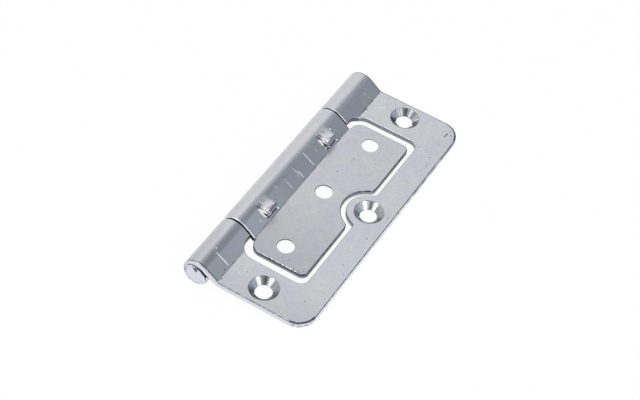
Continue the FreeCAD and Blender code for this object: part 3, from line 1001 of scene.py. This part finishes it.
# %% Tongue burrs
inner_marks = [
    stroke([(5.15, -20.60), (3.6, -20.52), (1.45, -20.42)], 0.74, 0.38, burnish_and_glint),
    stroke([(5.0, -20.5), (4.5, -19.95)], 0.45, 0.35, burnish_and_glint),
    bead(
        [(-16.3, -20.05, 4.70), (-15.6, -20.05, 4.66), (-14.9, -20.05, 4.56), (-13.9, -20.02, 4.45)],
        (0.0, -0.8, 0.6), 0.60, 0.20, burnish_and_glint),
    bead(
        [
            (-13.75, -19.85, 4.85), (-13.58, -19.36, 4.76), (-13.52, -18.85, 4.35), (-13.45, -18.68, 3.75),
            (-13.41, -19.0, 3.45), (-13.41, -19.44, 3.5)],
        END, 0.44, 0.20, burnish_and_glint, 36),
    # painted shade: a dark line along the near slot's lower edge
    stroke([(1.02, -19.7), (1.12, -17.5), (1.18, -14.5)], 0.62, 0.10, grime_and_shade),
    stroke([(1.10, -14.82), (0.35, -14.24)], 0.78, 0.34, burnish_and_glint),
    stroke([(2.5, -22.65), (1.7, -23.0)], 0.30, 0.06, soft),
    stroke([(1.9, -22.3), (1.5, -22.5)], 0.18, 0.03, soft),
    bead([(-14.05, 18.6, 5.86), (-13.8, 18.8, 5.70)], (0.5, 0.0, 0.85), 0.35, 0.05, grime_and_shade),
    stroke([(5.3, 15.42), (3.8, 15.62), (2.55, 15.62)], 0.72, 0.38, burnish_and_glint),
    stroke([(1.85, 15.55), (1.35, 15.60)], 0.45, 0.25, burnish_and_glint),
    stroke([(5.0, 15.6), (4.4, 16.15)], 0.45, 0.35, burnish_and_glint),
    bead(
        [(-16.3, 16.15, 4.50), (-15.5, 16.15, 4.65), (-14.7, 16.15, 4.65), (-13.9, 16.15, 4.45)], FRONT,
        0.48, 0.20, burnish_and_glint),
    # painted shade: a dark line along the far slot's lower edge
    stroke([(1.02, 16.3), (1.10, 18.6), (1.15, 21.4)], 0.55, 0.10, grime_and_shade),
    bead([(-13.45, 16.7, 3.0), (-13.40, 17.4, 2.75)], END, 0.45, 0.16, burnish_and_glint),
    stroke([(1.10, 21.12), (0.38, 21.68)], 0.72, 0.34, burnish_and_glint),
    stroke([(5.2, 22.05), (4.2, 22.25)], 0.50, 0.22, burnish_and_glint),
]

# %% [markdown]
# ## Ribs, scratches and specks
#
# The strong ribs stand where the bending tool had its joints. The specks are listed by where they are
# on the plate, with their length and width.

# %% Ribs and specks
for start, end, wide, material in (
    ((6.6, 7.25), (0.35, 7.6), 0.46, soft),
    ((5.6, 7.30), (1.0, 7.60), 0.20, burnish_and_glint),
    ((5.8, 0.05), (2.0, 0.15), 0.22, soft),
    ((3.7, 0.95), (0.6, 1.15), 0.28, burnish_and_glint),
    ((4.3, 0.55), (3.1, 0.85), 0.16, soft),
    ((5.6, -5.5), (0.7, -5.0), 0.17, soft),
    ((4.0, 11.9), (2.8, 12.2), 0.16, soft),
    ((5.9, -9.9), (5.2, -9.7), 0.25, soft),
):
    inner_marks.append(rib(start, end, wide, material))


def specks(places, material):
    """Short beads lying on the plate, from lists of x, y, length, width and the angle they lie at."""
    pieces = []
    for x, y, long, wide, degrees in places:
        half_x = 0.5 * long * math.cos(math.radians(degrees))
        half_y = 0.5 * long * math.sin(math.radians(degrees))
        ends = [(x - half_x, y - half_y, SHEET), (x + half_x, y + half_y, SHEET)]
        pieces.append(bead(ends, UP, wide, 0.02, material, 10, 8))
    return pieces


inner_marks += specks([
    (-3.6, -18.2, 0.45, 0.30, 20), (-2.1, -8.4, 0.40, 0.28, 70), (-10.1, -13.1, 0.40, 0.28, 0),
    (-9.2, -14.4, 0.30, 0.22, 40), (-4.4, 17.9, 1.1, 0.22, 35), (-4.7, 16.9, 1.0, 0.22, 120),
    (-1.1, 16.6, 0.8, 0.24, 10), (-6.1, 10.1, 1.4, 0.18, 80), (-0.8, -31.3, 0.9, 0.22, 30),
    (0.4, -30.2, 1.3, 0.18, 60), (-1.9, -29.9, 1.1, 0.18, 110), (4.9, -31.9, 0.9, 0.30, 20),
    (6.4, -31.2, 0.7, 0.26, 70),
], stain)
inner_marks += specks([(3.4, -32.3, 0.7, 0.22, 0), (5.4, -32.4, 0.6, 0.24, 10)], grime_and_shade)
inner_marks += specks([
    (-5.5, -10.2, 1.6, 0.16, 65), (-7.6, -6.0, 1.1, 0.14, 20), (1.2, 14.0, 1.4, 0.14, 100),
    (-3.0, -24.0, 1.0, 0.14, 10),
], soft)
# painted highlights: a row of white beads along the rounded top of the near cut edge
inner_marks += [
    bead([(start, -32.72, 1.97), (end, -32.72, 1.97)], (0.0, -0.5, 1.0), wide, 0.05, burnish_and_glint)
    for start, end, wide in (
        (-10.2, -5.2, 0.12), (-4.6, -3.9, 0.24), (-3.0, -1.2, 0.20), (-0.6, 0.3, 0.30), (0.9, 1.6, 0.34),
        (2.1, 2.9, 0.38), (3.9, 4.5, 0.34),
    )
]
joined("inner_press_marks", inner_marks, "inner")

outer_marks = [rib(start, end, wide, material) for start, end, wide, material in (
    ((6.6, -42.85), (0.4, -42.65), 0.34, burnish_and_glint),
    ((7.3, -41.7), (6.9, -41.5), 0.45, burnish_and_glint),
    ((4.1, 43.5), (2.9, 43.6), 0.20, soft),
    ((1.9, 43.9), (1.3, 43.9), 0.20, soft),
    # these three lie in the crease at the foot of the slope: painted shade
    ((0.8, 34.0), (0.45, 34.2), 0.26, grime_and_shade),
    ((0.35, -40.6), (-0.1, -40.9), 0.34, grime_and_shade),
    ((0.9, -44.6), (0.5, -45.0), 0.36, grime_and_shade),
)]
outer_marks += specks([
    (-12.3, -48.0, 0.5, 0.36, 0), (-11.6, -46.6, 0.35, 0.25, 40), (-8.9, 48.0, 0.6, 0.24, 0),
    (-12.2, 39.6, 0.6, 0.30, 60), (-2.9, 48.6, 0.5, 0.24, 0), (14.9, 44.9, 2.2, 0.42, 80),
    (16.3, 45.6, 1.1, 0.24, 120), (15.4, 47.0, 0.9, 0.22, 160), (15.6, 48.35, 1.6, 0.34, 140),
    (17.4, 46.1, 1.3, 0.40, 115), (15.3, 32.9, 0.5, 0.26, 20), (16.2, 28.9, 0.7, 0.20, 100),
    (10.2, 35.0, 0.4, 0.24, 0), (17.0, 2.1, 0.5, 0.26, 90), (15.7, -8.9, 0.6, 0.30, 40),
    (14.9, -22.1, 0.4, 0.24, 0), (16.8, -25.3, 0.5, 0.22, 90), (12.6, -40.8, 0.8, 0.16, 30),
    (3.9, -47.9, 0.5, 0.2, 0), (-7.4, -41.2, 0.7, 0.16, 120),
], grime_and_shade)
outer_marks += specks([
    (15.0, 44.6, 1.4, 0.20, 140), (15.9, 46.2, 1.3, 0.26, 75), (-9.4, -43.0, 1.3, 0.15, 30),
    (14.4, -33.0, 1.6, 0.14, 80), (15.6, 12.0, 1.8, 0.14, 85),
], soft)

# %% [markdown]
# ## Marks on the pin's end
#
# The hammer left a short groove near the top of the face. The bright line on the right of the rim is a
# painted highlight, where the rounded rim catches the light. A burr of the leaf's end stands beside the
# gap. These lie on the near face, so they stand out towards the front.


# %% End marks
def on_face(x, z, y=-50.07):
    """A point in mm on the hinge's near face, measured from the pin's axis."""
    return (PIN_X + x, y, PIN_Z + z)


def end_mark(places, wide, high, material):
    """A bead through places on the near face, standing out towards the front."""
    return bead([on_face(*place) for place in places], FRONT, wide, high, material)


# painted highlight along the right of the head's rim
rim_angles = np.radians(np.linspace(32.0, -16.0, 7))
rim_glint = [(HEAD_OFF_X + 3.22 * math.cos(a), HEAD_OFF_Z + 3.22 * math.sin(a), -50.05) for a in rim_angles]
outer_marks += [
    end_mark([(-0.20, 3.05), (0.43, 2.66), (1.10, 2.21)], 1.05, 0.028, grime_and_shade),
    end_mark([(1.00, 2.35), (1.45, 2.00), (2.08, 1.30), (2.70, 0.63)], 0.70, 0.028, grime_and_shade),
    end_mark([(-1.45, 2.10), (-0.70, 1.62), (-0.05, 0.85)], 0.92, 0.028, grime_and_shade),
    end_mark([(-0.75, 2.45), (-0.05, 1.95)], 0.80, 0.026, stain),
    end_mark([(-1.20, 2.75), (-0.64, 2.60)], 0.34, 0.028, burnish_and_glint),
    end_mark(rim_glint, 0.24, 0.045, burnish_and_glint),
    end_mark([(1.55, -2.35, -50.02), (1.90, -2.15, -50.02)], 0.40, 0.05, grime_and_shade),
    end_mark([(-2.85, -3.40, -50.055), (-2.35, -3.85, -50.055)], 0.42, 0.04, grime_and_shade),
    end_mark([(-4.42, -0.30, -50.0), (-4.42, -1.00, -50.0)], 0.32, 0.06, grime_and_shade),
    end_mark([(3.40, -0.80, -49.98), (3.62, -1.15, -49.98)], 0.30, 0.05, grime_and_shade),
]
joined("outer_press_marks", outer_marks, "outer")
